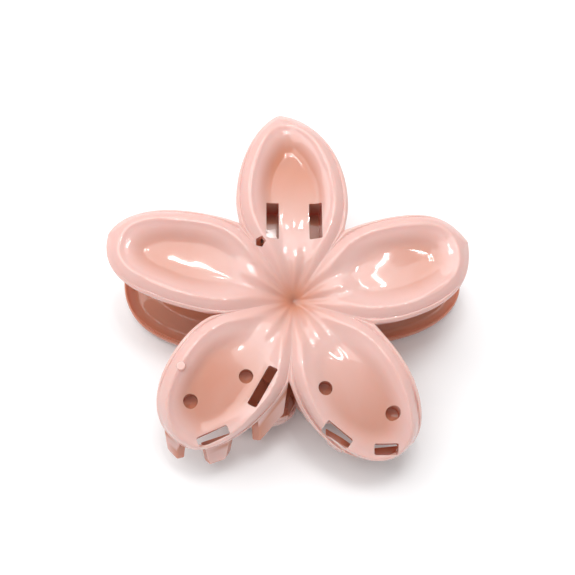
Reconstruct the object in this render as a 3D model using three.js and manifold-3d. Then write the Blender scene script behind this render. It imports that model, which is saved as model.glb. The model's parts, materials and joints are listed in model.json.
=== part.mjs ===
// Flower hair clip: two moulded five-petal jaws on a steel hinge pin, held closed by a torsion spring.
//
// Millimetres, +Z up. The clip is closed and lies on its back flower. X runs along the hinge pin,
// the two handle petals point to +Y and the teeth to -Y. The origin is the bottom centre of the clip.
//
// A jaw is designed in flower coordinates: u across the flower, v towards the handle petal and
// w outward. The plane w = 0 touches the crests of the petals, and u = v = 0 is the flower's middle.

import * as THREE from "three";
import { mergeVertices } from "three/addons/utils/BufferGeometryUtils.js";
import Module from "manifold-3d";

const wasm = await Module();
wasm.setup();

const { degToRad, smoothstep, lerp } = THREE.MathUtils;

// The petals in turn, counter-clockwise from the right: the direction of the petal, how far its tip
// reaches, and the tip's shift to the left of that line. The two free edges of a petal, on its right
// and left, are curves from the notches to the tip. Each is drawn outward by a belly handle, `bellyAt`
// of the way from notch to tip, and by a shoulder handle, `setback` short of the tip. The pairs of
// numbers are how far the handles stand off the petal's line on the right and on the left.
const PETALS = [
  {
    direction: 18,
    reach: 41.2,
    tipShift: 0.7,
    bellyAt: 0.64,
    belly: [13.6, 11.3],
    shoulder: [9.0, 8.8],
    setback: 2.4,
  },
  {
    direction: 90,
    reach: 43.5,
    tipShift: 3.1,
    bellyAt: 0.57,
    belly: [14.5, 14.8],
    shoulder: [4.8, 6.0],
    setback: 0.7,
  },
  {
    direction: 162,
    reach: 43.3,
    tipShift: -1.0,
    bellyAt: 0.38,
    belly: [12.1, 10.6],
    shoulder: [9.1, 11.7],
    setback: 1.3,
  },
  {
    direction: 230,
    reach: 43.1,
    tipShift: 4.3,
    bellyAt: 0.17,
    belly: [15.0, 13.0],
    shoulder: [12.1, 13.3],
    setback: 0.5,
  },
  {
    direction: 303,
    reach: 45.1,
    tipShift: -2.2,
    bellyAt: 0.72,
    belly: [16.4, 14.0],
    shoulder: [5.6, 4.4],
    setback: 0.5,
  },
];
const LOWER_PETALS = [3, 4];

// Where two petals part: the crease on the right of each petal above, in the same order.
const NOTCHES = [
  { direction: 340.5, radius: 18.3 },
  { direction: 54, radius: 19.0 },
  { direction: 126, radius: 20.6 },
  { direction: 195, radius: 15.8 },
  { direction: 266, radius: 19.2 },
];

// The moulded wall and the relief on it.
const WALL = 1.8;
const FUNNEL_DEPTH = 6.0;
const FUNNEL_RADIUS = 8.5;
const DISH_DEPTH = 2.6;
const FLANK_DEPTH = 1.5;
const CREST_AT = 0.81; // share of the way from a petal's middle line to its edge
const TIP_DROOP = 1.8;

// The lower petals bend inward round a cylinder and end in a skirt that carries the teeth.
const BEND_START_V = -12;
const BEND_RADIUS = 36;
const SKIRT_DEPTH = 1.6;
const SKIRT_STARTS_V = -17;
const SKIRT_FULL_V = -27;

// The grid that a petal is made on: a petal's creases end at row CREASE_ROWS.
const ROWS = 14;
const CREASE_ROWS = 5;
const COLUMNS = 10;

// Hinge.
const HINGE_V = 17.5;
const HINGE_W = -15;
const JAW_TILT = degToRad(4); // between each flower and the middle plane of the closed clip
const PIN_RADIUS = 0.8;
const PIN_CLEARANCE = 0.08;
const PIN_SIDES = 24;
const PIN_STANDS_OUT = 0.4; // at each end, beyond the outer ears
const EAR_GAP = 0.35;
const EAR_END_RADIUS = 3.0;
const EAR_ROOT_HALF_LENGTH = 6.5;
const EAR_ROOT_W = -5.5; // where the ear starts to narrow towards the pin
const INNER_EARS = { centre: 4.8, thickness: 3.9, slotWidth: 2.8 };
const OUTER_EAR_THICKNESS = 2.8;
const OUTER_EARS = {
  centre: INNER_EARS.centre + INNER_EARS.thickness / 2 + EAR_GAP + OUTER_EAR_THICKNESS / 2,
  thickness: OUTER_EAR_THICKNESS,
  slotWidth: 1.6,
};
const EAR_SLOT_LENGTH = 8.6;
const EAR_SLOT_FLOOR_W = -9.5;

// Spring.
const WIRE_RADIUS = 0.45;
const COIL_RADIUS = 2.4;
const COIL_PITCH = 0.97;
const COIL_FULL_TURNS = 4;
const LEG_REACH = 12.8;
const LEG_ANGLE = degToRad(31);

// Every tooth hangs from the edge of a lower petal: which petal and side, the place along that
// side's curve, the width at its root, how far it leans outward from straight down, and its
// length as a share of the jaw's tooth length.
const TOOTH_TAPER = 1.8; // how much narrower the tooth is at its tip
const TOOTH_THICKNESS = 2.0;
const TOOTH_DRAFT = 1.3; // how much further each side of the inner face stands out
const TOOTH_STEP = 0.35; // how far the root lies below the edge
const TOOTH_INSET = 0.3; // how far the outer face lies inside the edge
const TOOTH_CURL = 0.2; // how far the tip is drawn inward
const TEETH = [
  { petal: 3, side: 0, along: 0.93, width: 7.6, lean: degToRad(35), length: 1.08 },
  { petal: 3, side: 1, along: 0.7, width: 8.2, lean: degToRad(35), length: 1 },
  { petal: 3, side: 1, along: 0.24, width: 12.4, lean: degToRad(35), length: 1.35 },
  { petal: 4, side: 0, along: 0.12, width: 9.0, lean: degToRad(2), length: 1 },
  { petal: 4, side: 0, along: 0.38, width: 8.2, lean: degToRad(2), length: 1 },
  { petal: 4, side: 0, along: 0.8, width: 8.2, lean: degToRad(2), length: 1 },
];

// Windows over the teeth: centre, size along and across, and the direction they run in.
const TOOTH_SLOTS = [
  { u: -17.4, v: -30.0, length: 7.0, width: 2.3, direction: 22 },
  { u: -7.0, v: -20.0, length: 9.3, width: 2.2, direction: 60 },
  { u: 9.2, v: -29.7, length: 6.8, width: 2.4, direction: -36 },
  { u: 19.9, v: -32.5, length: 5.2, width: 2.4, direction: 0 },
];

// Round blind holes in the lower petals, each with a boss round it on the inside.
const HOLE_RADIUS = 1.55;
const HOLE_SIDES = 20;
const BOSS_RADIUS = 2.7;
const BOSS_LENGTH = 2.4;
const BOSS_FLOOR = 0.9;
const BOSS_HOLES = [
  { u: -22.3, v: -22.8 },
  { u: -10.5, v: -17.6 },
  { u: 21.1, v: -25.2 },
  { u: 6.5, v: -20.1 },
];

const CREASE_HOLE = { u: -7.5, v: 12.3, radius: 1.2, sides: 5 };
const CREASE_HOLE_FLOOR_W = -10;
const GATE_NUB = { u: -24.3, v: -16.0, w: -1.2, radius: 0.9 };
const REST_LAND_DEPTH = 0.1;

// The back jaw's lower petals are shorter, so that its teeth close inside those of the front jaw.
const FRONT_JAW = {
  ears: INNER_EARS,
  lowerReach: 1,
  slotReach: 1,
  toothLength: 6.2,
  gateNub: true,
};
const BACK_JAW = {
  ears: OUTER_EARS,
  lowerReach: 0.64,
  slotReach: 0.62,
  toothLength: 3.0,
  gateNub: false,
};

// Heights that clear the whole of a jaw.
const ABOVE_JAW = 4;
const BELOW_JAW = -22;
const WIDER_THAN_JAW = 120;

// A closed three.js geometry made into a solid that can be joined and cut.
function solidOf(geometry) {
  const bare = geometry.clone();
  bare.deleteAttribute("normal");
  bare.deleteAttribute("uv");
  const merged = mergeVertices(bare);
  const corners = merged.index.array;
  const triangles = [];
  for (let i = 0; i < corners.length; i += 3) {
    const [a, b, c] = corners.slice(i, i + 3);
    if (a !== b && b !== c && c !== a) triangles.push(a, b, c);
  }
  return new wasm.Manifold(new wasm.Mesh({
    numProp: 3,
    vertProperties: new Float32Array(merged.getAttribute("position").array),
    triVerts: new Uint32Array(triangles),
  }));
}

function geometryOf(solid) {
  const mesh = solid.getMesh();
  const geometry = new THREE.BufferGeometry();
  geometry.setAttribute("position", new THREE.BufferAttribute(mesh.vertProperties, 3));
  geometry.setIndex(new THREE.BufferAttribute(mesh.triVerts, 1));
  geometry.computeVertexNormals();
  return geometry;
}

function geometryFromFaces(faces) {
  const positions = [];
  for (const [first, ...others] of faces) {
    for (let i = 0; i + 1 < others.length; i += 1) {
      for (const corner of [first, others[i], others[i + 1]]) {
        positions.push(corner.x, corner.y, corner.z);
      }
    }
  }
  const geometry = new THREE.BufferGeometry();
  geometry.setAttribute("position", new THREE.Float32BufferAttribute(positions, 3));
  return geometry;
}

function polar(direction, radius) {
  const angle = degToRad(direction);
  return new THREE.Vector2(radius * Math.cos(angle), radius * Math.sin(angle));
}

// The point of the flower's plane that is `along` a direction and `left` of it.
function beside(direction, along, left) {
  return polar(direction, along).add(polar(direction + 90, left));
}

// The free edge of one side of a petal, from its notch to its tip. Side 0 is the right one.
function freeEdge(jaw, petalIndex, side) {
  const { direction, reach: fullReach, tipShift, bellyAt, belly, shoulder, setback } = PETALS[petalIndex];
  const notch = NOTCHES[(petalIndex + side) % NOTCHES.length];
  const sign = side === 0 ? -1 : 1;
  const reach = fullReach * (LOWER_PETALS.includes(petalIndex) ? jaw.lowerReach : 1);
  const start = polar(notch.direction, notch.radius);
  const startAlong = start.dot(polar(direction, 1));
  return new THREE.CubicBezierCurve(
    start,
    beside(direction, lerp(startAlong, reach, bellyAt), sign * belly[side]),
    beside(direction, reach - setback, sign * shoulder[side]),
    beside(direction, reach, tipShift),
  );
}

// How far the edge is let down below the crest: more on the lower petals, which have a skirt.
function edgeDrop(v) {
  return FLANK_DEPTH + SKIRT_DEPTH * smoothstep(-v, -SKIRT_STARTS_V, -SKIRT_FULL_V);
}

// The outer face of the wall. `share` runs from the flower's middle (0) to the petal's tip (1), and
// `across` from the petal's right edge (-1) to its left edge (1).
function outerHeight(point, share, across) {
  const funnel = -FUNNEL_DEPTH * Math.exp(-((point.length() / FUNNEL_RADIUS) ** 2));
  const towardsTip = smoothstep(share, 0.5, 1) ** 1.5;
  const towardsEdge = 1 - (1 - Math.abs(across)) * (1 - towardsTip);
  const relief = smoothstep(share, 0, 0.36);
  const droop = -TIP_DROOP * smoothstep(share, 0.6, 1);
  if (towardsEdge < CREST_AT) {
    return funnel + droop - relief * DISH_DEPTH * 0.5 * (1 + Math.cos((Math.PI * towardsEdge) / CREST_AT));
  }
  const overCrest = (towardsEdge - CREST_AT) / (1 - CREST_AT);
  return funnel + droop - relief * edgeDrop(point.y) * overCrest ** 1.6;
}

function bend(point) {
  const arc = BEND_START_V - point.y;
  if (arc <= 0) return point;
  const radius = BEND_RADIUS + point.z;
  const turned = arc / BEND_RADIUS;
  return new THREE.Vector3(
    point.x,
    BEND_START_V - radius * Math.sin(turned),
    radius * Math.cos(turned) - BEND_RADIUS,
  );
}

// The whole flower between two faces, each given as a function of the outer face's height.
function flowerSolid(jaw, upperFace, lowerFace) {
  const faces = [];
  PETALS.forEach((petal, petalIndex) => {
    const edges = [0, 1].map((side) => freeEdge(jaw, petalIndex, side));
    const border = (side, row) => {
      if (row > CREASE_ROWS) return edges[side].getPoint((row - CREASE_ROWS) / (ROWS - CREASE_ROWS));
      const notch = NOTCHES[(petalIndex + side) % NOTCHES.length];
      return polar(notch.direction, notch.radius * (row / CREASE_ROWS));
    };
    const corner = (row, column, face) => {
      const across = Math.sin((Math.PI / 2) * ((2 * column) / COLUMNS - 1));
      const point = border(0, row).lerp(border(1, row), (across + 1) / 2);
      const height = face(outerHeight(point, row / ROWS, across));
      return bend(new THREE.Vector3(point.x, point.y, height));
    };
    for (let row = 0; row < ROWS; row += 1) {
      for (let column = 0; column < COLUMNS; column += 1) {
        const cell = (face) => [
          corner(row, column, face),
          corner(row + 1, column, face),
          corner(row + 1, column + 1, face),
          corner(row, column + 1, face),
        ];
        faces.push(cell(upperFace), cell(lowerFace).reverse());
      }
      if (row >= CREASE_ROWS) {
        for (const column of [0, COLUMNS]) {
          const wall = [
            corner(row, column, upperFace),
            corner(row, column, lowerFace),
            corner(row + 1, column, lowerFace),
            corner(row + 1, column, upperFace),
          ];
          faces.push(column === 0 ? wall : wall.reverse());
        }
      }
    }
  });
  return solidOf(geometryFromFaces(faces));
}

// A bar through a row of four-cornered sections.
function loft(sections) {
  const faces = [[...sections[0]].reverse(), sections.at(-1)];
  for (let i = 0; i + 1 < sections.length; i += 1) {
    for (let j = 0; j < 4; j += 1) {
      const next = (j + 1) % 4;
      faces.push([sections[i][j], sections[i][next], sections[i + 1][next], sections[i + 1][j]]);
    }
  }
  return solidOf(geometryFromFaces(faces));
}

// A tooth is a tapered bar that is wider on its inner face, so that it draws from the mould.
function toothSolid(jaw, { petal, side, along, width, lean, length }) {
  const edge = freeEdge(jaw, petal, side);
  const underEdge = (place) => {
    const point = edge.getPoint(place);
    const height = outerHeight(point, lerp(CREASE_ROWS / ROWS, 1, place), 1);
    return bend(new THREE.Vector3(point.x, point.y, height - TOOTH_STEP));
  };
  const across = underEdge(along + 0.03).sub(underEdge(along - 0.03)).normalize();
  if (side === 1) across.negate();
  const down = new THREE.Vector3(0, -Math.sin(lean), -Math.cos(lean));
  const inward = across.clone().cross(down).normalize();
  const sections = [0, 0.5, 1].map((share) => {
    const centre = underEdge(along)
      .addScaledVector(down, share * length * jaw.toothLength)
      .addScaledVector(inward, TOOTH_INSET + TOOTH_CURL * share ** 2);
    const innerHalf = (width - TOOTH_TAPER * share) / 2;
    const outerHalf = innerHalf - TOOTH_DRAFT;
    const corner = (sideways, depth) => centre
      .clone()
      .addScaledVector(across, sideways)
      .addScaledVector(inward, depth);
    return [
      corner(outerHalf, 0),
      corner(-outerHalf, 0),
      corner(-innerHalf, TOOTH_THICKNESS),
      corner(innerHalf, TOOTH_THICKNESS),
    ];
  });
  return loft(sections);
}

// An ear is a plate under the handle petal that narrows to a round end about the pin.
function earSolid(centre, thickness) {
  const shape = new THREE.Shape();
  shape.moveTo(HINGE_V - EAR_ROOT_HALF_LENGTH, 2);
  shape.lineTo(HINGE_V - EAR_ROOT_HALF_LENGTH, EAR_ROOT_W);
  shape.absarc(HINGE_V, HINGE_W, EAR_END_RADIUS, degToRad(190), degToRad(350), false);
  shape.lineTo(HINGE_V + EAR_ROOT_HALF_LENGTH, EAR_ROOT_W);
  shape.lineTo(HINGE_V + EAR_ROOT_HALF_LENGTH, 2);
  const plate = new THREE.ExtrudeGeometry(shape, {
    depth: thickness,
    bevelEnabled: false,
    curveSegments: 10,
  });
  // The shape's plane (v, w) and its depth become the jaw's v, w and u.
  const toJaw = new THREE.Matrix4().makeBasis(
    new THREE.Vector3(0, 1, 0),
    new THREE.Vector3(0, 0, 1),
    new THREE.Vector3(1, 0, 0),
  );
  plate.applyMatrix4(toJaw);
  plate.translate(centre - thickness / 2, 0, 0);
  return solidOf(plate);
}

// An upright block in flower coordinates, between two heights.
function blockCutter({ u, v, length, width, direction }, bottom, top) {
  const block = new THREE.BoxGeometry(length, width, top - bottom);
  block.rotateZ(degToRad(direction));
  block.translate(u, v, (bottom + top) / 2);
  return solidOf(block);
}

// An upright round post in flower coordinates, between two heights.
function post({ u, v, radius, sides }, bottom, top) {
  const cylinder = new THREE.CylinderGeometry(radius, radius, top - bottom, sides);
  cylinder.rotateX(Math.PI / 2);
  cylinder.translate(u, v, (bottom + top) / 2);
  return solidOf(cylinder);
}

// A round bar along the hinge axis, in flower coordinates.
function hingeBar(radius, length) {
  const bar = new THREE.CylinderGeometry(radius, radius, length, PIN_SIDES);
  bar.rotateZ(Math.PI / 2);
  return bar;
}

// The height of the wall's outer face in the dish at a place on a lower petal, after the bend.
function bentDishHeight(v) {
  return bend(new THREE.Vector3(0, v, -DISH_DEPTH)).z;
}

function jawSolid(jaw) {
  let solid = flowerSolid(jaw, (height) => height, (height) => height - WALL);
  const underWall = flowerSolid(jaw, (height) => height - WALL / 2, () => BELOW_JAW);

  for (const side of [-1, 1]) {
    solid = solid.add(earSolid(side * jaw.ears.centre, jaw.ears.thickness).intersect(underWall));
  }
  for (const hole of BOSS_HOLES) {
    const placed = { u: hole.u * jaw.slotReach, v: hole.v * jaw.slotReach, sides: HOLE_SIDES };
    const floor = bentDishHeight(placed.v) - WALL - BOSS_LENGTH;
    const boss = post({ ...placed, radius: BOSS_RADIUS }, floor, ABOVE_JAW);
    const bore = post({ ...placed, radius: HOLE_RADIUS }, floor + BOSS_FLOOR, ABOVE_JAW);
    solid = solid.add(boss.intersect(underWall)).subtract(bore);
  }
  for (const tooth of TEETH) {
    solid = solid.add(toothSolid(jaw, tooth));
  }
  for (const slot of TOOTH_SLOTS) {
    const placed = { direction: slot.direction };
    for (const size of ["u", "v", "length", "width"]) {
      placed[size] = slot[size] * jaw.slotReach;
    }
    const floor = bentDishHeight(placed.v) - 2 * WALL;
    solid = solid.subtract(blockCutter(placed, floor, ABOVE_JAW));
  }
  for (const side of [-1, 1]) {
    const slot = {
      u: side * jaw.ears.centre,
      v: HINGE_V,
      length: jaw.ears.slotWidth,
      width: EAR_SLOT_LENGTH,
      direction: 0,
    };
    solid = solid.subtract(blockCutter(slot, EAR_SLOT_FLOOR_W, ABOVE_JAW));
  }
  solid = solid.subtract(post(CREASE_HOLE, CREASE_HOLE_FLOOR_W, ABOVE_JAW));

  if (jaw.gateNub) {
    const nub = new THREE.IcosahedronGeometry(GATE_NUB.radius, 1);
    nub.translate(GATE_NUB.u, GATE_NUB.v, GATE_NUB.w);
    solid = solid.add(solidOf(nub));
  }

  const pinBore = hingeBar(PIN_RADIUS + PIN_CLEARANCE, WIDER_THAN_JAW);
  pinBore.translate(0, HINGE_V, HINGE_W);
  solid = solid.subtract(solidOf(pinBore));

  // Small flats on the crests, where the flower can lie on a table.
  const land = new THREE.BoxGeometry(WIDER_THAN_JAW, WIDER_THAN_JAW, ABOVE_JAW);
  land.translate(0, 0, ABOVE_JAW / 2 - REST_LAND_DEPTH);
  return largestBody(solid.subtract(solidOf(land)));
}

// Without the loose slivers that crossing cuts can leave.
function largestBody(solid) {
  const bodies = solid.decompose();
  return bodies.reduce((largest, body) => (body.volume() > largest.volume() ? body : largest));
}

// The spring wire in hinge coordinates: u along the pin, then towards the handles, then outward.
class SpringWire extends THREE.Curve {
  constructor() {
    super();
    this.legEnd = Math.PI / 2 + LEG_ANGLE;
    this.sweep = 2 * (Math.PI - this.legEnd) + COIL_FULL_TURNS * 2 * Math.PI;
    this.legLength = LEG_REACH / Math.cos(LEG_ANGLE);
    this.coilLength = this.sweep * COIL_RADIUS;
    this.total = this.coilLength + 2 * this.legLength;
    this.backLeg = new THREE.Vector3(0, Math.cos(LEG_ANGLE), -Math.sin(LEG_ANGLE));
    this.frontLeg = new THREE.Vector3(0, Math.cos(LEG_ANGLE), Math.sin(LEG_ANGLE));
  }

  coilPoint(turned) {
    const angle = -this.legEnd - turned;
    return new THREE.Vector3(
      COIL_PITCH * (turned - this.sweep / 2) / (2 * Math.PI),
      COIL_RADIUS * Math.cos(angle),
      COIL_RADIUS * Math.sin(angle),
    );
  }

  getPoint(t) {
    const distance = t * this.total;
    if (distance < this.legLength) {
      const back = this.legLength - distance;
      return this.coilPoint(0).addScaledVector(this.backLeg, back);
    }
    if (distance > this.legLength + this.coilLength) {
      const on = distance - this.legLength - this.coilLength;
      return this.coilPoint(this.sweep).addScaledVector(this.frontLeg, on);
    }
    return this.coilPoint((distance - this.legLength) / COIL_RADIUS);
  }
}

function springGeometry() {
  const section = new THREE.Shape();
  section.absarc(0, 0, WIRE_RADIUS, 0, 2 * Math.PI, false);
  return new THREE.ExtrudeGeometry(section, {
    extrudePath: new SpringWire(),
    steps: 96,
    curveSegments: 4,
    bevelEnabled: false,
  });
}

function piece(name, geometry, colour, roughness, metalness) {
  const material = new THREE.MeshStandardMaterial({ color: colour, roughness, metalness });
  const mesh = new THREE.Mesh(geometry, material);
  mesh.name = name;
  return mesh;
}

const PLASTIC_PINK = 0xe9a795;
const STEEL = 0xb9bcc0;

// Places a jaw, whose own origin is the flower's middle, so that its hinge lies on the group's X axis.
function jawOnHinge(name, jaw) {
  const mesh = piece(name, geometryOf(jawSolid(jaw)), PLASTIC_PINK, 0.15, 0);
  mesh.position.set(0, -HINGE_V, -HINGE_W);
  const tilted = new THREE.Group();
  tilted.rotation.x = JAW_TILT;
  tilted.add(mesh);
  return tilted;
}

const frontJaw = jawOnHinge("front_jaw", FRONT_JAW);
const backJaw = new THREE.Group();
backJaw.rotation.y = Math.PI;
backJaw.add(jawOnHinge("back_jaw", BACK_JAW));

const pinLength = 2 * (OUTER_EARS.centre + OUTER_EARS.thickness / 2 + PIN_STANDS_OUT);
const hingePin = piece("hinge_pin", hingeBar(PIN_RADIUS, pinLength), STEEL, 0.3, 1);
const spring = piece("torsion_spring", springGeometry(), STEEL, 0.3, 1);

// The middle plane of the clip leans back by the jaw's tilt, so that the back flower lies level.
const closedClip = new THREE.Group();
closedClip.rotation.x = JAW_TILT;
closedClip.add(frontJaw, backJaw, hingePin, spring);

const clip = new THREE.Group();
clip.name = "flower_hair_clip";
clip.add(closedClip);
clip.updateMatrixWorld(true);
const extent = new THREE.Box3().setFromObject(clip, true);
closedClip.position.set(
  -(extent.min.x + extent.max.x) / 2,
  -(extent.min.y + extent.max.y) / 2,
  -extent.min.z,
);

export default clip;
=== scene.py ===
import json
import math

import bmesh
import bpy
import numpy as np
from mathutils import Matrix, Vector
from mathutils.kdtree import KDTree


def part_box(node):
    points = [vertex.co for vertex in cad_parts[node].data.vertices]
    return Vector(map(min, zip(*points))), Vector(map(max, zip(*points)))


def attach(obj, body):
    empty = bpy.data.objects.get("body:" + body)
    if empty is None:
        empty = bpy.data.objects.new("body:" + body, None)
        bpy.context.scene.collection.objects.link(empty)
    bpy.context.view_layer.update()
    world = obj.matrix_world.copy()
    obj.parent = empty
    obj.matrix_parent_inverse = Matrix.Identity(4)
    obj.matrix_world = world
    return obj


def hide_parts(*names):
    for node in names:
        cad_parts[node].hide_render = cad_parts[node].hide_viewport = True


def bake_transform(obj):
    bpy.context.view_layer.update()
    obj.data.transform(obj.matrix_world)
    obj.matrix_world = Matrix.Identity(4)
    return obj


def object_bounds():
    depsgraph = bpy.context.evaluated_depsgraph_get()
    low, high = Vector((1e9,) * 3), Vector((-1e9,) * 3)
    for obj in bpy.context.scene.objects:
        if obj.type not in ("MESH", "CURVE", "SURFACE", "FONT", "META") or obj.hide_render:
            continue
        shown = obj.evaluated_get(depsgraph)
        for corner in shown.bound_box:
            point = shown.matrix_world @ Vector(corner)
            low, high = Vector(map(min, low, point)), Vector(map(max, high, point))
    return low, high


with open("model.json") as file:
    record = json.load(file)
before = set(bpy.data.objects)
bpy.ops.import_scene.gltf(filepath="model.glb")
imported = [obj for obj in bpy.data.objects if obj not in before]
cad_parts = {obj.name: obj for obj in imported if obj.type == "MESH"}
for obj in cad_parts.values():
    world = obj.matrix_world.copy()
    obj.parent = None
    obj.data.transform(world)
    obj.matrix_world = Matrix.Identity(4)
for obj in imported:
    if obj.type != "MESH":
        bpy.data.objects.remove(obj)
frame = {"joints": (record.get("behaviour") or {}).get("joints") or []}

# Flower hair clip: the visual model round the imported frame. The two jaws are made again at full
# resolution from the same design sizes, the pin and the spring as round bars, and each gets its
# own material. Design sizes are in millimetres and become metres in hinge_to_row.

cad_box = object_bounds()

MM = 0.001

# Petals and notches as in the design: counter-clockwise from the right petal.
PETALS = [
    dict(
        direction=18, reach=41.2, tip_shift=0.7, belly_at=0.64,
        belly=(13.6, 11.3), shoulder=(9.0, 8.8), setback=2.4,
    ),
    dict(
        direction=90, reach=43.5, tip_shift=3.1, belly_at=0.57,
        belly=(14.5, 14.8), shoulder=(4.8, 6.0), setback=0.7,
    ),
    dict(
        direction=162, reach=43.3, tip_shift=-1.0, belly_at=0.38,
        belly=(12.1, 10.6), shoulder=(9.1, 11.7), setback=1.3,
    ),
    dict(
        direction=230, reach=43.1, tip_shift=4.3, belly_at=0.17,
        belly=(15.0, 13.0), shoulder=(12.1, 13.3), setback=0.5,
    ),
    dict(
        direction=303, reach=45.1, tip_shift=-2.2, belly_at=0.72,
        belly=(16.4, 14.0), shoulder=(5.6, 4.4), setback=0.5,
    ),
]
LOWER_PETALS = (3, 4)
NOTCHES = [(340.5, 18.3), (54, 19.0), (126, 20.6), (195, 15.8), (266, 19.2)]

# The wall and its relief. The nub is larger and higher here than in the design, to clear the crest.
WALL = 1.8
FUNNEL_DEPTH = 6.0
FUNNEL_RADIUS = 8.5
DISH_DEPTH = 2.6
WALL_OF_DISH = 1.0
FLOOR_DEPTH = 1.1
FLOOR_INSET = 9.0
CUP_DEPTH = 0.7
FLANK_DEPTH = 1.5
CREST_INSET = 2.3
DISH_INSET = 6.2
MIDDLE_SOFTNESS = 2
FUNNEL_SHARPNESS = 1.35
PLEAT_DEPTH = 0.35
TIP_DROOP = 1.8
BEND_START_V = -12.0
BEND_RADIUS = 36.0
SKIRT_DEPTH = 1.6
CREASE_SHARE = 5 / 14

HINGE_V = 17.5
HINGE_W = -15.0
JAW_TILT = math.radians(4)
PIN_RADIUS = 0.8
PIN_CLEARANCE = 0.08
PIN_END_EASE = 0.2
BORE_LENGTH = 40
EAR_END_RADIUS = 3.0
EAR_ROOT_HALF_LENGTH = 6.5
EAR_SLOT_LENGTH = 8.6
EAR_SLOT_FLOOR_W = -9.5
EAR_SLOT_CORNER = 0.25

WIRE_RADIUS = 0.45
COIL_RADIUS = 2.4
COIL_PITCH = 0.97
COIL_FULL_TURNS = 4
LEG_REACH = 12.8
LEG_ANGLE = math.radians(31)

TOOTH_TAPER = 1.8
TOOTH_THICKNESS = 2.0
TOOTH_DRAFT = 1.3
TOOTH_STEP = 0.35
TOOTH_INSET = 0.3
TOOTH_CURL = 0.2
TOOTH_ROUND_END = 0.6
TOOTH_CORNER = 0.35
TEETH = [
    dict(petal=3, side=0, along=0.93, width=7.6, lean=math.radians(35), length=1.08),
    dict(petal=3, side=1, along=0.7, width=8.2, lean=math.radians(35), length=1.0),
    dict(petal=3, side=1, along=0.24, width=12.4, lean=math.radians(35), length=1.35),
    dict(petal=4, side=0, along=0.12, width=9.0, lean=math.radians(2), length=1.0),
    dict(petal=4, side=0, along=0.38, width=8.2, lean=math.radians(2), length=1.0),
    dict(petal=4, side=0, along=0.8, width=8.2, lean=math.radians(2), length=1.0),
]
TOOTH_SLOTS = [
    dict(u=-17.4, v=-30.0, length=7.0, width=2.3, direction=22),
    dict(u=-7.0, v=-20.0, length=9.3, width=2.2, direction=60),
    dict(u=9.2, v=-29.7, length=6.8, width=2.4, direction=-36),
    dict(u=19.9, v=-32.5, length=5.2, width=2.4, direction=0),
]
HOLE_RADIUS = 1.55
BOSS_RADIUS = 2.7
BOSS_LENGTH = 2.4
BOSS_FLOOR = 0.9
HOLE_POINT = 0.7
BOSS_HOLES = [(-22.3, -22.8), (-10.5, -17.6), (21.1, -25.2), (6.5, -20.1)]
CREASE_HOLE = (-7.5, 12.3)
CREASE_HOLE_RADIUS = 1.2
CREASE_HOLE_SIDES = 5
CREASE_HOLE_FLOOR_W = -10
GATE_NUB = Vector((-24.3, -16.0, -0.75))
GATE_NUB_RADIUS = 1.05
REST_LAND_DEPTH = 0.1

FRONT_JAW = dict(
    ear_centre=4.8, ear_thickness=3.9, ear_slot_width=2.8,
    lower_reach=1.0, slot_reach=1.0, tooth_length=6.2, gate_nub=True,
)
BACK_JAW = dict(
    ear_centre=8.5, ear_thickness=2.8, ear_slot_width=1.6,
    lower_reach=0.64, slot_reach=0.62, tooth_length=3.0, gate_nub=False,
)

# Painted shade: how deep each petal's dish is painted, most on the top petal, and the paint on
# the parts that do not belong to the outer face: underside and tooth sides painted as in shade,
# tooth faces kept nearly pale, a painted light over their shade.
DISH_SHADE = (0.46, 0.75, 0.46, 0.52, 0.52)
UNDERSIDE_SHADE = 0.7
TOOTH_SIDE_SHADE = 0.88
# Painted light: the tooth faces are painted nearly pale though they lie in shade.
TOOTH_FACE_PAINTED_LIGHT = 0.05

# How finely the visual model is cut.
ROWS = 112
CREASE_ROWS = round(ROWS * CREASE_SHARE)
COLUMNS = 64
EASE_PASSES = 200
RIM_STEPS = 6
RIM_BULGE = 0.35
POST_SIDES = 48

hinge_joint = frame["joints"][0]
hinge_centre = Vector(hinge_joint["pos_m"])


def smoothstep(x, low, high):
    t = np.clip((x - low) / (high - low), 0.0, 1.0)
    return t * t * (3 - 2 * t)


def polar(direction, radius):
    angle = math.radians(direction)
    return np.array([radius * math.cos(angle), radius * math.sin(angle)])


def beside(direction, along, left):
    return polar(direction, along) + polar(direction + 90, left)


def free_edge(jaw, petal_index, side, t):
    """Points and unit tangents of one free side of a petal, from its notch (t = 0) to its tip."""
    petal = PETALS[petal_index]
    direction = petal["direction"]
    notch_direction, notch_radius = NOTCHES[(petal_index + side) % len(NOTCHES)]
    sign = -1 if side == 0 else 1
    reach = petal["reach"] * (jaw["lower_reach"] if petal_index in LOWER_PETALS else 1)
    a = polar(notch_direction, notch_radius)
    notch_along = float(a @ polar(direction, 1))
    belly_along = notch_along + petal["belly_at"] * (reach - notch_along)
    b = beside(direction, belly_along, sign * petal["belly"][side])
    c = beside(direction, reach - petal["setback"], sign * petal["shoulder"][side])
    d = beside(direction, reach, petal["tip_shift"])
    t = np.atleast_1d(np.asarray(t, float))[:, None]
    s = 1 - t
    points = s**3 * a + 3 * s * s * t * b + 3 * s * t * t * c + t**3 * d
    tangents = s * s * (b - a) + 2 * s * t * (c - b) + t * t * (d - c)
    tangents /= np.linalg.norm(tangents, axis=1, keepdims=True)
    return points, tangents


def edge_drop(v):
    return FLANK_DEPTH + SKIRT_DEPTH * smoothstep(-v, 17, 27)


def border_distance(points, border):
    """Distance in the plan from every point of a grid to a polyline."""
    start, step = border[:-1], np.diff(border, axis=0)
    flat = points.reshape(-1, 1, 2)
    along = ((flat - start) * step).sum(-1) / (step**2).sum(-1)
    nearest = start + np.clip(along, 0, 1)[..., None] * step
    return np.linalg.norm(flat - nearest, axis=-1).min(axis=1).reshape(points.shape[:-1])


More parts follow.
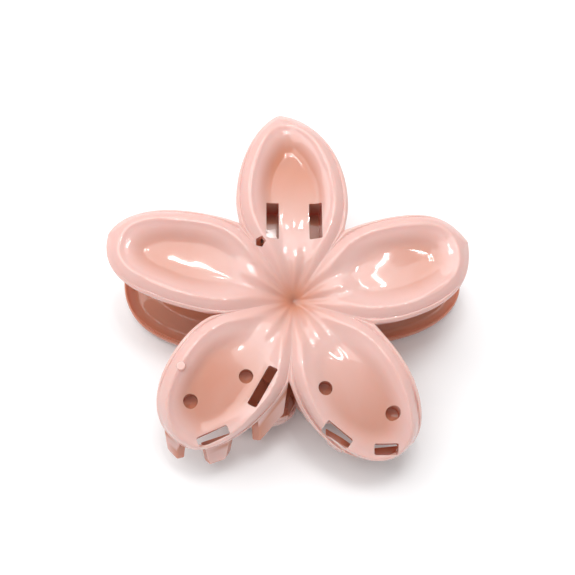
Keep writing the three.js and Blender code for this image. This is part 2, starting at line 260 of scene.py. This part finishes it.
def soft_inset(plan, borders):
    """How far inside a petal's outline a point lies, rounded off along the middle of the petal."""
    right, left = [np.maximum(border_distance(plan, border), 1e-3) for border in borders]
    return (right**-MIDDLE_SOFTNESS + left**-MIDDLE_SOFTNESS) ** (-1 / MIDDLE_SOFTNESS)


def eased(border):
    """A petal's side with the corner at its notch rounded off, for the relief to run along."""
    smooth = border.copy()
    for _ in range(EASE_PASSES):
        smooth[1:-1] = (smooth[:-2] + 2 * smooth[1:-1] + smooth[2:]) / 4
    share = np.linspace(0, 1, len(border))[:, None]
    mix = smoothstep(share, 0.05, 0.2) * (1 - smoothstep(share, 0.6, 0.8))
    return border * (1 - mix) + smooth * mix


def bump(x, middle, width):
    return np.exp(-(((x - middle) / width) ** 2))


def outer_height(plan, share, inset):
    """The outer face: a funnel in the middle, a dish in each petal, a crest and a sloping flank."""
    radius = np.linalg.norm(plan, axis=-1)
    funnel = -FUNNEL_DEPTH * np.exp(-((radius / FUNNEL_RADIUS) ** FUNNEL_SHARPNESS))
    relief = smoothstep(share, 0.02, 0.36)
    droop = -TIP_DROOP * smoothstep(share, 0.6, 1)
    wall = -WALL_OF_DISH * smoothstep(inset, CREST_INSET, DISH_INSET)
    into_dish = np.clip((inset - CREST_INSET) / (FLOOR_INSET - CREST_INSET), 0, 1)
    floor = -FLOOR_DEPTH * (1 - (1 - into_dish) ** 2)
    cup = -CUP_DEPTH * bump(share, 0.64, 0.25) * smoothstep(inset, CREST_INSET, DISH_INSET)
    dish = wall + floor + cup
    over_crest = np.clip(1 - inset / CREST_INSET, 0, 1)
    flank = -edge_drop(plan[..., 1]) * over_crest**1.6
    return funnel + droop + relief * (dish + flank)


def fine_relief(share, across, inset):
    """Pleats that fan out of the middle, a bead on the crest, and a groove and a soft ridge inside it."""
    pleats = PLEAT_DEPTH * smoothstep(share, 0.03, 0.16) * (1 - smoothstep(share, 0.22, 0.5))
    pleats = pleats * np.cos(2.6 * math.pi * across + 0.5) * (1 - across**2)
    crest = 0.14 * bump(inset, CREST_INSET - 0.3, 0.32) - 0.16 * bump(inset, CREST_INSET + 0.7, 0.5)
    ridge = 0.14 * bump(inset, CREST_INSET + 2.3, 0.7)
    return pleats + (crest + ridge) * smoothstep(share, 0.2, 0.45)


def bend(points):
    """The lower petals are bent inward round a cylinder."""
    points = np.array(points, float)
    arc = np.maximum(BEND_START_V - points[..., 1], 0)
    radius = BEND_RADIUS + points[..., 2]
    turned = arc / BEND_RADIUS
    bent = arc > 0
    v = np.where(bent, BEND_START_V - radius * np.sin(turned), points[..., 1])
    w = np.where(bent, radius * np.cos(turned) - BEND_RADIUS, points[..., 2])
    return np.stack([points[..., 0], v, w], axis=-1)


def mesh_object(name, vertices, faces, merge=True):
    mesh = bpy.data.meshes.new(name)
    mesh.from_pydata([tuple(v) for v in vertices], [], [tuple(f) for f in faces])
    work = bmesh.new()
    work.from_mesh(mesh)
    if merge:
        bmesh.ops.remove_doubles(work, verts=work.verts, dist=1e-5)
        bmesh.ops.dissolve_degenerate(work, edges=work.edges, dist=1e-6)
    work.to_mesh(mesh)
    work.free()
    obj = bpy.data.objects.new(name, mesh)
    bpy.context.scene.collection.objects.link(obj)
    return obj


def grid_faces(first, rows, columns, flip=False):
    """Quads of a grid of (rows + 1) by (columns + 1) vertices that starts at vertex `first`."""
    row, column = np.meshgrid(np.arange(rows), np.arange(columns), indexing="ij")
    a = (first + row * (columns + 1) + column).ravel()
    b = a + columns + 1
    quads = np.stack([a, b, b + 1, a + 1], axis=1)
    return quads[:, ::-1] if flip else quads


def petal_border(jaw, petal_index, side):
    """Plan points down one side of a petal: the crease from the middle, then the free edge."""
    direction, radius = NOTCHES[(petal_index + side) % len(NOTCHES)]
    crease = np.linspace(0, 1, CREASE_ROWS + 1)[:, None] * polar(direction, radius)
    # The rows draw together towards the tip, where the outline turns fastest.
    steps = np.linspace(0, 1, ROWS - CREASE_ROWS + 1)[1:]
    edge, tangents = free_edge(jaw, petal_index, side, steps)
    return np.vstack([crease, edge]), tangents


def rim_outward(petal_index, side, tangents):
    """Which way the rounded rim stands out: square to the edge, and straight ahead at the tip."""
    turn = 1 if side == 0 else -1
    square = turn * np.stack([tangents[:, 1], -tangents[:, 0]], axis=1)
    ahead = polar(PETALS[petal_index]["direction"], 1)
    steps = np.linspace(0, 1, ROWS - CREASE_ROWS + 1)[1:]
    mix = smoothstep(steps, 0.9, 1)[:, None]
    outward = square * (1 - mix) + ahead * mix
    outward /= np.linalg.norm(outward, axis=1, keepdims=True)
    return outward * smoothstep(steps, 0, 0.12)[:, None]


def petal_surface(jaw, petal_index):
    """A petal as a grid: its plan, its outer face with and without relief, and how far inside it is."""
    across = np.sin(math.pi / 2 * np.linspace(-1, 1, COLUMNS + 1))[None, :]
    share = np.linspace(0, 1, ROWS + 1)[:, None]
    borders = [petal_border(jaw, petal_index, side)[0] for side in (0, 1)]
    mix = ((across + 1) / 2)[..., None]
    plan = borders[0][:, None, :] * (1 - mix) + borders[1][:, None, :] * mix
    eased_borders = [eased(border) for border in borders]
    inset = np.minimum(soft_inset(plan, borders), soft_inset(plan, eased_borders))
    plain = outer_height(plan, share, inset)
    return plan, plain + fine_relief(share, across, inset), plain, inset


def flower_object(name, jaw, upper_face, lower_face, rounded):
    """The whole flower between two faces, each a function of the outer face's height."""
    vertices = []
    faces = []
    for petal_index in range(len(PETALS)):
        plan, height, plain, _ = petal_surface(jaw, petal_index)
        for face, level, flip in ((upper_face, height, False), (lower_face, plain, True)):
            points = np.concatenate([plan, face(level)[..., None]], axis=-1)
            faces.append(grid_faces(len(vertices), ROWS, COLUMNS, flip))
            vertices.extend(bend(points).reshape(-1, 3))
        for side, column in ((0, 0), (1, COLUMNS)):
            edge_plan = plan[CREASE_ROWS:, column]
            top = upper_face(height[CREASE_ROWS:, column])
            bottom = lower_face(plain[CREASE_ROWS:, column])
            tangents = petal_border(jaw, petal_index, side)[1]
            outward = np.vstack([np.zeros(2), rim_outward(petal_index, side, tangents)])
            angle = np.linspace(0, math.pi, RIM_STEPS + 1)[None, :]
            bulge = RIM_BULGE * np.sin(angle) * (1 if rounded else 0)
            level = (top + bottom)[:, None] / 2 + (top - bottom)[:, None] / 2 * np.cos(angle)
            rim = edge_plan[:, None, :] + outward[:, None, :] * bulge[..., None]
            points = np.concatenate([rim, level[..., None]], axis=-1)
            faces.append(grid_faces(len(vertices), ROWS - CREASE_ROWS, RIM_STEPS, flip=side == 0))
            vertices.extend(bend(points).reshape(-1, 3))
    return mesh_object(name, vertices, np.vstack(faces))


def loft(name, sections):
    """A closed bar through rings of points that all have the same count."""
    count = len(sections[0])
    vertices = [point for ring in sections for point in ring]
    faces = []
    for i in range(len(sections) - 1):
        for j in range(count):
            k = (j + 1) % count
            low = i * count
            faces.append((low + j, low + k, low + count + k, low + count + j))
    faces.append(tuple(reversed(range(count))))
    last = (len(sections) - 1) * count
    faces.append(tuple(range(last, last + count)))
    return mesh_object(name, vertices, faces, merge=False)


def rounded_section(half_outer, half_inner, thickness, corner, steps=4):
    """A trapezium with round corners, from its outer face (depth 0) to its inner face."""
    corners = [
        (half_outer, 0.0), (-half_outer, 0.0), (-half_inner, thickness), (half_inner, thickness),
    ]
    points = []
    for i, here in enumerate(corners):
        before = np.array(corners[i - 1]) - here
        after = np.array(corners[(i + 1) % 4]) - here
        before /= np.linalg.norm(before)
        after /= np.linalg.norm(after)
        start = np.array(here) + before * corner
        end = np.array(here) + after * corner
        for t in np.linspace(0, 1, steps + 1):
            points.append((1 - t) ** 2 * start + 2 * t * (1 - t) * np.array(here) + t * t * end)
    return points


def under_edge(jaw, tooth, place):
    """The point just below the edge of the wall, at a place along a petal's side, after the bend."""
    points, _ = free_edge(jaw, tooth["petal"], tooth["side"], place)
    share = CREASE_SHARE + (1 - CREASE_SHARE) * place
    height = float(outer_height(points, share, 0)[0])
    return Vector(bend([[*points[0], height - TOOTH_STEP]])[0])


def tooth_frame(jaw, tooth):
    """A tooth's root, and the directions across it, down it and into the clip."""
    along = tooth["along"]
    across = (under_edge(jaw, tooth, along + 0.03) - under_edge(jaw, tooth, along - 0.03)).normalized()
    if tooth["side"] == 1:
        across.negate()
    down = Vector((0, -math.sin(tooth["lean"]), -math.cos(tooth["lean"])))
    inward = across.cross(down).normalized()
    return under_edge(jaw, tooth, along), across, down, inward


def tooth_object(jaw, tooth):
    """A tapered bar, wider on its inner face, with round corners and a round end."""
    root, across, down, inward = tooth_frame(jaw, tooth)
    length = jaw["tooth_length"] * tooth["length"]
    round_end = TOOTH_ROUND_END
    sections = []
    for share in (0, 0.2, 0.4, 0.6, 0.8, 1 - round_end / length, 1 - round_end / length / 3, 1):
        over = max(share * length - (length - round_end), 0) / round_end
        shrink = 0.5 * (1 - math.sqrt(max(1 - over * over, 0)))
        centre = root + down * (share * length) + inward * (TOOTH_INSET + TOOTH_CURL * share**2)
        inner_half = (tooth["width"] - TOOTH_TAPER * share) / 2 - shrink
        section = rounded_section(
            inner_half - TOOTH_DRAFT, inner_half, TOOTH_THICKNESS - 2 * shrink, TOOTH_CORNER,
        )
        sections.append([centre + across * x + inward * (y + shrink) for x, y in section])
    return loft("tooth", sections)


def ear_object(centre, thickness):
    """A plate under the handle petal that narrows to a round end about the pin, with eased edges."""
    arc = [math.radians(a) for a in np.linspace(190, 350, 28)]
    outline = [(HINGE_V - EAR_ROOT_HALF_LENGTH, 2.0), (HINGE_V - EAR_ROOT_HALF_LENGTH, -5.5)]
    outline += [
        (HINGE_V + EAR_END_RADIUS * math.cos(a), HINGE_W + EAR_END_RADIUS * math.sin(a)) for a in arc
    ]
    outline += [(HINGE_V + EAR_ROOT_HALF_LENGTH, -5.5), (HINGE_V + EAR_ROOT_HALF_LENGTH, 2.0)]
    middle = np.array([HINGE_V, HINGE_W + 6])
    ease = 0.3
    rings = []
    for offset, inset in ((0, ease), (ease * 0.3, ease * 0.3), (ease, 0)):
        rings.append((centre - thickness / 2 + offset, inset))
    for offset, inset in ((ease, 0), (ease * 0.3, ease * 0.3), (0, ease)):
        rings.append((centre + thickness / 2 - offset, inset))
    sections = []
    for u, inset in rings:
        ring = []
        for v, w in outline:
            away = np.array([v, w]) - middle
            point = np.array([v, w]) - away / np.linalg.norm(away) * inset
            ring.append((u, point[0], point[1]))
        sections.append(ring)
    return loft("ear", sections)


def post_object(u, v, radius, bottom, top, sides=POST_SIDES, point=0.0):
    """An upright round post; `point` is how far its lower end tapers, as a drill leaves it."""
    turn = np.linspace(0, 2 * math.pi, sides + 1)[:-1]
    levels = [(radius, bottom), (radius, top)]
    if point:
        levels = [(radius * 0.1, bottom), (radius, bottom + point), (radius, top)]
    return loft("post", [[(u + r * math.cos(a), v + r * math.sin(a), w) for a in turn] for r, w in levels])


def slot_object(u, v, length, width, direction, bottom, top, corner=0.45):
    """A cutter for a straight slot with round corners."""
    ahead = polar(direction, 1)
    left = polar(direction + 90, 1)
    ring = []
    for sx, sy, first in ((1, 1, 0), (-1, 1, 90), (-1, -1, 180), (1, -1, 270)):
        for angle in np.radians(np.linspace(first, first + 90, 6)):
            x = sx * (length / 2 - corner) + corner * math.cos(angle)
            y = sy * (width / 2 - corner) + corner * math.sin(angle)
            ring.append(np.array([u, v]) + ahead * x + left * y)
    return loft("slot", [[(*p, bottom) for p in ring], [(*p, top) for p in ring]])


def box_object(low, high):
    ring = [(low[0], low[1]), (high[0], low[1]), (high[0], high[1]), (low[0], high[1])]
    return loft("block", [[(x, y, low[2]) for x, y in ring], [(x, y, high[2]) for x, y in ring]])


def combine(target, tool, operation, keep_tool=False):
    """Joins `tool` to `target`, or cuts it from it, and applies the result."""
    modifier = target.modifiers.new("combine", "BOOLEAN")
    modifier.solver = "MANIFOLD"
    modifier.operation = operation
    modifier.object = tool
    graph = bpy.context.evaluated_depsgraph_get()
    result = bpy.data.meshes.new_from_object(target.evaluated_get(graph))
    target.modifiers.clear()
    old = target.data
    target.data = result
    bpy.data.meshes.remove(old)
    if not keep_tool:
        tool_mesh = tool.data
        bpy.data.objects.remove(tool)
        bpy.data.meshes.remove(tool_mesh)
    return target


def bent_dish_height(v):
    return float(bend([[0, v, -DISH_DEPTH]])[0, 2])


def jaw_object(name, jaw):
    above_all = 4.0
    far_below = -22.0
    flower = flower_object(name, jaw, lambda h: h, lambda h: h - WALL, rounded=True)
    under_wall = flower_object(
        "under_wall", jaw, lambda h: h - WALL / 2, lambda h: np.full_like(h, far_below), rounded=False,
    )
    for side in (-1, 1):
        ear = ear_object(side * jaw["ear_centre"], jaw["ear_thickness"])
        combine(ear, under_wall, "INTERSECT", keep_tool=True)
        combine(flower, ear, "UNION")
    for hole_place in BOSS_HOLES:
        u, v = np.array(hole_place) * jaw["slot_reach"]
        floor = bent_dish_height(v) - WALL - BOSS_LENGTH
        boss = post_object(u, v, BOSS_RADIUS, floor, above_all)
        combine(boss, under_wall, "INTERSECT", keep_tool=True)
        combine(flower, boss, "UNION")
        hole_floor = floor + BOSS_FLOOR
        hole = post_object(u, v, HOLE_RADIUS, hole_floor, above_all, point=HOLE_POINT)
        combine(flower, hole, "DIFFERENCE")
    for tooth in TEETH:
        combine(flower, tooth_object(jaw, tooth), "UNION")
    for slot in TOOTH_SLOTS:
        placed = {size: slot[size] * jaw["slot_reach"] for size in ("u", "v", "length", "width")}
        floor = bent_dish_height(placed["v"]) - 2 * WALL
        cutter = slot_object(**placed, direction=slot["direction"], bottom=floor, top=above_all)
        combine(flower, cutter, "DIFFERENCE")
    for side in (-1, 1):
        cutter = slot_object(
            side * jaw["ear_centre"], HINGE_V, jaw["ear_slot_width"], EAR_SLOT_LENGTH, 0,
            EAR_SLOT_FLOOR_W, above_all, corner=EAR_SLOT_CORNER,
        )
        combine(flower, cutter, "DIFFERENCE")
    crease_cutter = post_object(
        *CREASE_HOLE, CREASE_HOLE_RADIUS, CREASE_HOLE_FLOOR_W, above_all, sides=CREASE_HOLE_SIDES,
    )
    combine(flower, crease_cutter, "DIFFERENCE")
    if jaw["gate_nub"]:
        combine(flower, nub_object(), "UNION")
    bore = hinge_bar("bore", PIN_RADIUS + PIN_CLEARANCE, BORE_LENGTH, HINGE_V, HINGE_W)
    combine(flower, bore, "DIFFERENCE")
    combine(flower, box_object((-60, -60, -REST_LAND_DEPTH), (60, 60, 10)), "DIFFERENCE")
    under_mesh = under_wall.data
    bpy.data.objects.remove(under_wall)
    bpy.data.meshes.remove(under_mesh)
    return flower


def nub_object():
    rings = []
    for latitude in np.radians(np.linspace(-80, 80, 13)):
        radius = GATE_NUB_RADIUS * math.cos(latitude)
        level = GATE_NUB.z + GATE_NUB_RADIUS * math.sin(latitude)
        rings.append([
            (GATE_NUB.x + radius * math.cos(a), GATE_NUB.y + radius * math.sin(a), level)
            for a in np.linspace(0, 2 * math.pi, 25)[:-1]
        ])
    return loft("nub", rings)


def hinge_bar(name, radius, length, v, w, end_ease=0.0):
    """A round bar along the hinge axis, with eased ends."""
    ends = [(-length / 2, radius - end_ease), (-length / 2 + end_ease, radius)]
    ends += [(length / 2 - end_ease, radius), (length / 2, radius - end_ease)]
    if end_ease == 0:
        ends = [ends[0], ends[-1]]
    turn = np.linspace(0, 2 * math.pi, POST_SIDES + 1)[:-1]
    rings = [[(u, v + r * math.cos(a), w + r * math.sin(a)) for a in turn] for u, r in ends]
    return loft(name, rings)


def spring_object():
    """The wire: one leg, the coil round the pin, and the other leg, as one bent round bar."""
    leg_end = math.pi / 2 + LEG_ANGLE
    sweep = 2 * (math.pi - leg_end) + COIL_FULL_TURNS * 2 * math.pi
    leg_length = LEG_REACH / math.cos(LEG_ANGLE)

    def coil_point(turned):
        angle = -leg_end - turned
        along = COIL_PITCH * (turned - sweep / 2) / (2 * math.pi)
        return Vector((along, COIL_RADIUS * math.cos(angle), COIL_RADIUS * math.sin(angle)))

    back_leg = Vector((0, math.cos(LEG_ANGLE), -math.sin(LEG_ANGLE)))
    front_leg = Vector((0, math.cos(LEG_ANGLE), math.sin(LEG_ANGLE)))
    path = [coil_point(0) + back_leg * leg_length * (1 - i / 10) for i in range(10)]
    path += [coil_point(sweep * i / 240) for i in range(241)]
    path += [coil_point(sweep) + front_leg * leg_length * i / 10 for i in range(1, 11)]
    return tube("spring_wire", path, WIRE_RADIUS)


def tube(name, path, radius, sides=20):
    """A round bar along a path, carried along it without twist."""
    last = len(path) - 1
    tangents = [
        (path[min(i + 1, last)] - path[max(i - 1, 0)]).normalized() for i in range(len(path))
    ]
    normal = tangents[0].orthogonal().normalized()
    rings = []
    for i, (point, tangent) in enumerate(zip(path, tangents)):
        if i:
            normal = (tangents[i - 1].rotation_difference(tangent) @ normal).normalized()
        side = tangent.cross(normal)
        end = i in (0, len(path) - 1)
        r = radius * (0.72 if end else 1)
        rings.append([
            point + normal * r * math.cos(a) + side * r * math.sin(a)
            for a in np.linspace(0, 2 * math.pi, sides + 1)[:-1]
        ])
    return loft(name, rings)


def place(obj, matrix, sharp_angle):
    """Puts a piece made in millimetres into the row frame, and shades it smooth between sharp edges."""
    obj.data.transform(matrix)
    obj.data.polygons.foreach_set("use_smooth", [True] * len(obj.data.polygons))
    obj.data.set_sharp_from_angle(angle=math.radians(sharp_angle))
    obj.data.update()


def paint_shade(obj, jaw):
    """Stores the painted shade of each vertex: none on the pale rims, more in the dishes, most in the
    middle funnel, with undersides and tooth sides painted as in shade and tooth faces painted pale.
    """
    tree_points = []
    shade_tints = []
    share = np.linspace(0, 1, ROWS + 1)[:, None]
    for petal_index in range(len(PETALS)):
        plan, height, _, inset = petal_surface(jaw, petal_index)
        # Painted shade: the dish is painted deeper than its rim, as its hollow lies in shade.
        shade_tint = DISH_SHADE[petal_index] * smoothstep(inset, 2.5, 6.5)
        shade_tint = shade_tint * smoothstep(share, 0.22, 0.62)
        radius = np.linalg.norm(plan, axis=-1)
        # Painted shade: the middle funnel is painted darkest.
        shade_tint = np.maximum(shade_tint, 0.95 * np.exp(-((radius / 5.0) ** 1.2)))
        tree_points.extend(bend(np.concatenate([plan, height[..., None]], axis=-1)).reshape(-1, 3))
        shade_tints.extend(shade_tint.ravel())
    tree = KDTree(len(tree_points))
    for index, point in enumerate(tree_points):
        tree.insert(point, index)
    tree.balance()
    places = np.array([vertex.co for vertex in obj.data.vertices])
    # Painted shade on the underside and tooth sides, and painted light on the tooth faces, kept nearly
    # pale.
    under = np.full(len(places), UNDERSIDE_SHADE)
    for tooth in TEETH:
        root, across, down, inward = [np.array(part) for part in tooth_frame(jaw, tooth)]
        offset = places - root
        on_tooth = (abs(offset @ across) < tooth["width"] / 2) & (offset @ down > 0.3)
        on_tooth &= abs(offset @ inward - TOOTH_THICKNESS / 2) < TOOTH_THICKNESS
        under[on_tooth] = TOOTH_SIDE_SHADE
        under[on_tooth & (offset @ inward < TOOTH_INSET + 0.3)] = TOOTH_FACE_PAINTED_LIGHT
    values = []
    for place_of, under_shade_tint in zip(places, under):
        _, index, distance = tree.find(place_of)
        below = float(smoothstep(distance, 0.5, 1.4))
        values.append(shade_tints[index] * (1 - below) + under_shade_tint * below)
    # The painted shade is stored on the vertices for the material.
    layer = obj.data.attributes.new("painted_shade", "FLOAT", "POINT")
    layer.data.foreach_set("value", values)


scale = Matrix.Scale(MM, 4)
hinge_to_row = Matrix.Translation(hinge_centre) @ Matrix.Rotation(JAW_TILT, 4, "X") @ scale
jaw_to_hinge = Matrix.Rotation(JAW_TILT, 4, "X") @ Matrix.Translation((0, -HINGE_V, -HINGE_W))
turned_over = Matrix.Rotation(math.pi, 4, "Y")

front = jaw_object("front_flower_jaw", FRONT_JAW)
paint_shade(front, FRONT_JAW)
place(front, hinge_to_row @ jaw_to_hinge, 38)
back = jaw_object("back_flower_jaw", BACK_JAW)
paint_shade(back, BACK_JAW)
place(back, hinge_to_row @ turned_over @ jaw_to_hinge, 38)
pin_low, pin_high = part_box("hinge_pin")
pin = hinge_bar("hinge_rivet_pin", PIN_RADIUS, (pin_high[0] - pin_low[0]) / MM, 0, 0, PIN_END_EASE)
place(pin, hinge_to_row, 50)
spring = spring_object()
place(spring, hinge_to_row, 60)


# Materials -----------------------------------------------------------------------------------


# The plastic's own pale pink, and the two shade colours painted into dishes, hollows and undersides.
PALE_PINK = (0.72, 0.48, 0.44)
SHADE_CORAL = (0.56, 0.235, 0.15)
DEEP_SHADE_CORAL = (0.34, 0.11, 0.07)


def new_material(name):
    material = bpy.data.materials.new(name)
    material.use_nodes = True
    nodes = material.node_tree.nodes
    shader = nodes["Principled BSDF"]
    return material, nodes, material.node_tree.links, shader


def jelly_plastic(name):
    """Glossy milky plastic: pale pink, darkened to the shade colours by the stored painted shade, with a
    cloudy mix.
    """
    material, nodes, links, shader = new_material(name)
    coordinates = nodes.new("ShaderNodeTexCoord")
    cloud = nodes.new("ShaderNodeTexNoise")
    cloud.inputs["Scale"].default_value = 70
    cloud.inputs["Detail"].default_value = 3
    cloud.inputs["Distortion"].default_value = 0.8
    links.new(coordinates.outputs["Object"], cloud.inputs["Vector"])
    # The stored painted shade, read from the vertices.
    painted_shade = nodes.new("ShaderNodeAttribute")
    painted_shade.attribute_name = "painted_shade"
    shift = nodes.new("ShaderNodeMath")
    shift.operation = "MULTIPLY_ADD"
    shift.inputs[1].default_value = 0.2
    shift.inputs[2].default_value = -0.1
    links.new(cloud.outputs["Fac"], shift.inputs[0])
    # Painted shade plus the cloudy mix.
    depth = nodes.new("ShaderNodeMath")
    depth.operation = "ADD"
    depth.use_clamp = True
    links.new(shift.outputs["Value"], depth.inputs[0])
    links.new(painted_shade.outputs["Fac"], depth.inputs[1])
    # Painted shade: pale pink where the stored value is low, the shade colours where it is high.
    shade_tint = nodes.new("ShaderNodeValToRGB")
    shade_tint.color_ramp.elements[0].position = 0.0
    shade_tint.color_ramp.elements[0].color = (*PALE_PINK, 1)
    shade_tint.color_ramp.elements[1].position = 0.7
    shade_tint.color_ramp.elements[1].color = (*SHADE_CORAL, 1)
    shade_tint.color_ramp.elements.new(1.0).color = (*DEEP_SHADE_CORAL, 1)
    links.new(depth.outputs["Value"], shade_tint.inputs["Fac"])
    links.new(shade_tint.outputs["Color"], shader.inputs["Base Color"])
    shader.inputs["Subsurface Weight"].default_value = 0.6
    shader.inputs["Subsurface Radius"].default_value = (1.0, 0.45, 0.35)
    shader.inputs["Subsurface Scale"].default_value = 0.0025
    shader.inputs["IOR"].default_value = 1.5
    haze = nodes.new("ShaderNodeTexNoise")
    haze.inputs["Scale"].default_value = 260
    haze.inputs["Detail"].default_value = 4
    links.new(coordinates.outputs["Object"], haze.inputs["Vector"])
    gloss = nodes.new("ShaderNodeMapRange")
    gloss.inputs["To Min"].default_value = 0.03
    gloss.inputs["To Max"].default_value = 0.09
    links.new(haze.outputs["Fac"], gloss.inputs["Value"])
    links.new(gloss.outputs["Result"], shader.inputs["Roughness"])
    ripple = nodes.new("ShaderNodeTexNoise")
    ripple.inputs["Scale"].default_value = 120
    ripple.inputs["Detail"].default_value = 2
    links.new(coordinates.outputs["Object"], ripple.inputs["Vector"])
    bump = nodes.new("ShaderNodeBump")
    bump.inputs["Strength"].default_value = 0.06
    bump.inputs["Distance"].default_value = 0.0004
    links.new(ripple.outputs["Fac"], bump.inputs["Height"])
    links.new(bump.outputs["Normal"], shader.inputs["Normal"])
    return material


def drawn_steel(name, colour_low, colour_high, roughness):
    """Bright drawn steel: fine lines along the wire and a slight change of tone."""
    material, nodes, links, shader = new_material(name)
    coordinates = nodes.new("ShaderNodeTexCoord")
    stretch = nodes.new("ShaderNodeMapping")
    stretch.inputs["Scale"].default_value = (60, 900, 900)
    links.new(coordinates.outputs["Object"], stretch.inputs["Vector"])
    lines = nodes.new("ShaderNodeTexNoise")
    lines.inputs["Scale"].default_value = 4
    lines.inputs["Detail"].default_value = 5
    links.new(stretch.outputs["Vector"], lines.inputs["Vector"])
    tone = nodes.new("ShaderNodeValToRGB")
    tone.color_ramp.elements[0].color = (*colour_low, 1)
    tone.color_ramp.elements[1].color = (*colour_high, 1)
    links.new(lines.outputs["Fac"], tone.inputs["Fac"])
    links.new(tone.outputs["Color"], shader.inputs["Base Color"])
    shader.inputs["Metallic"].default_value = 1.0
    gloss = nodes.new("ShaderNodeMapRange")
    gloss.inputs["To Min"].default_value = roughness - 0.08
    gloss.inputs["To Max"].default_value = roughness + 0.1
    links.new(lines.outputs["Fac"], gloss.inputs["Value"])
    links.new(gloss.outputs["Result"], shader.inputs["Roughness"])
    return material


def floor_paper(name):
    """Matt white paper."""
    material, nodes, links, shader = new_material(name)
    grain = nodes.new("ShaderNodeTexNoise")
    grain.inputs["Scale"].default_value = 400
    tone = nodes.new("ShaderNodeValToRGB")
    tone.color_ramp.elements[0].color = (0.93, 0.93, 0.94, 1)
    tone.color_ramp.elements[1].color = (0.96, 0.96, 0.965, 1)
    links.new(grain.outputs["Fac"], tone.inputs["Fac"])
    links.new(tone.outputs["Color"], shader.inputs["Base Color"])
    shader.inputs["Roughness"].default_value = 0.9
    shader.inputs["Specular IOR Level"].default_value = 0.1
    return material


front.data.materials.clear()
front.data.materials.append(jelly_plastic("milky_pink_front"))
back.data.materials.clear()
back.data.materials.append(jelly_plastic("milky_pink_back"))
pin.data.materials.append(drawn_steel("pin_steel", (0.45, 0.46, 0.48), (0.62, 0.63, 0.65), 0.28))
spring.data.materials.append(drawn_steel("spring_steel", (0.4, 0.41, 0.43), (0.56, 0.57, 0.6), 0.3))

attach(front, "front")
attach(back, "back")
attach(pin, "back")
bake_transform(spring)
for piece, node, slot_name in (
    (front, "front_jaw", "petal_plastic"),
    (back, "back_jaw", "petal_plastic"),
    (pin, "hinge_pin", "pin_steel"),
    (spring, "torsion_spring", "spring_steel"),
):
    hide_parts(node)


# Floor, light and camera -----------------------------------------------------------------------

floor = mesh_object(
    "studio_floor",
    [(-1.5, -1.5, 0), (1.5, -1.5, 0), (1.5, 1.5, 0), (-1.5, 1.5, 0)],
    [(0, 1, 2, 3)],
    merge=False,
)
floor.data.materials.append(floor_paper("white_paper"))


def area_light(name, place_at, target, size, power, colour=(1, 1, 1)):
    data = bpy.data.lights.new(name, "AREA")
    data.shape = "RECTANGLE"
    data.size, data.size_y = size
    data.energy = power
    data.color = colour
    light = bpy.data.objects.new(name, data)
    light.location = place_at
    light.rotation_euler = (Vector(target) - Vector(place_at)).to_track_quat("-Z", "Y").to_euler()
    bpy.context.scene.collection.objects.link(light)
    return light


clip_low, clip_high = Vector(cad_box[0]), Vector(cad_box[1])
clip_centre = (clip_low + clip_high) / 2

# A soft panel overhead, and three bare strips below it that the glossy dishes mirror.
STRIP_HEIGHT = 0.5
STRIP_LENGTH = 0.11
STRIP_WIDTH = 0.007
STRIP_SPACING = 0.06
STRIP_TURN = math.radians(-66)
STRIP_POWER = 0.2
PANEL_SIZE = (0.8, 0.8)
PANEL_POWER = 5.0
SKY_STRENGTH = 0.55
strip_middle = clip_centre + Vector((0.032, 0.06, STRIP_HEIGHT))
area_light("soft_panel", clip_centre + Vector((-0.25, 0.2, 0.7)), clip_centre, PANEL_SIZE, PANEL_POWER)
for index in (-1, 0, 1):
    strip = area_light(
        f"strip_{index + 1}",
        strip_middle + Vector((STRIP_SPACING * index, 0, 0)),
        strip_middle + Vector((STRIP_SPACING * index, 0, -1)),
        (STRIP_LENGTH, STRIP_WIDTH),
        STRIP_POWER,
    )
    strip.rotation_euler = (0, 0, STRIP_TURN)

world = bpy.data.worlds.new("studio")
world.use_nodes = True
world.node_tree.nodes["Background"].inputs["Color"].default_value = (1, 1, 1, 1)
world.node_tree.nodes["Background"].inputs["Strength"].default_value = SKY_STRENGTH
bpy.context.scene.world = world

CAMERA_ELEVATION = math.radians(65.2)
CAMERA_AZIMUTH = math.radians(-7.0)
CAMERA_ROLL = math.radians(6.9)
CAMERA_DISTANCE = 0.25
LENS = 68.4
AIM = Vector((-0.001, 0.0009, 0.0154))

camera_data = bpy.data.cameras.new("camera")
camera_data.lens = LENS
camera_data.sensor_width = 36
camera = bpy.data.objects.new("camera", camera_data)
towards = Vector((
    math.sin(CAMERA_AZIMUTH) * math.cos(CAMERA_ELEVATION),
    -math.cos(CAMERA_AZIMUTH) * math.cos(CAMERA_ELEVATION),
    math.sin(CAMERA_ELEVATION),
))
camera.location = AIM + towards * CAMERA_DISTANCE
look = (-towards).to_track_quat("-Z", "Y")
camera.rotation_euler = (look @ Matrix.Rotation(CAMERA_ROLL, 4, "Z").to_quaternion()).to_euler()
bpy.context.scene.collection.objects.link(camera)
bpy.context.scene.camera = camera
bpy.context.scene.view_settings.view_transform = "Standard"
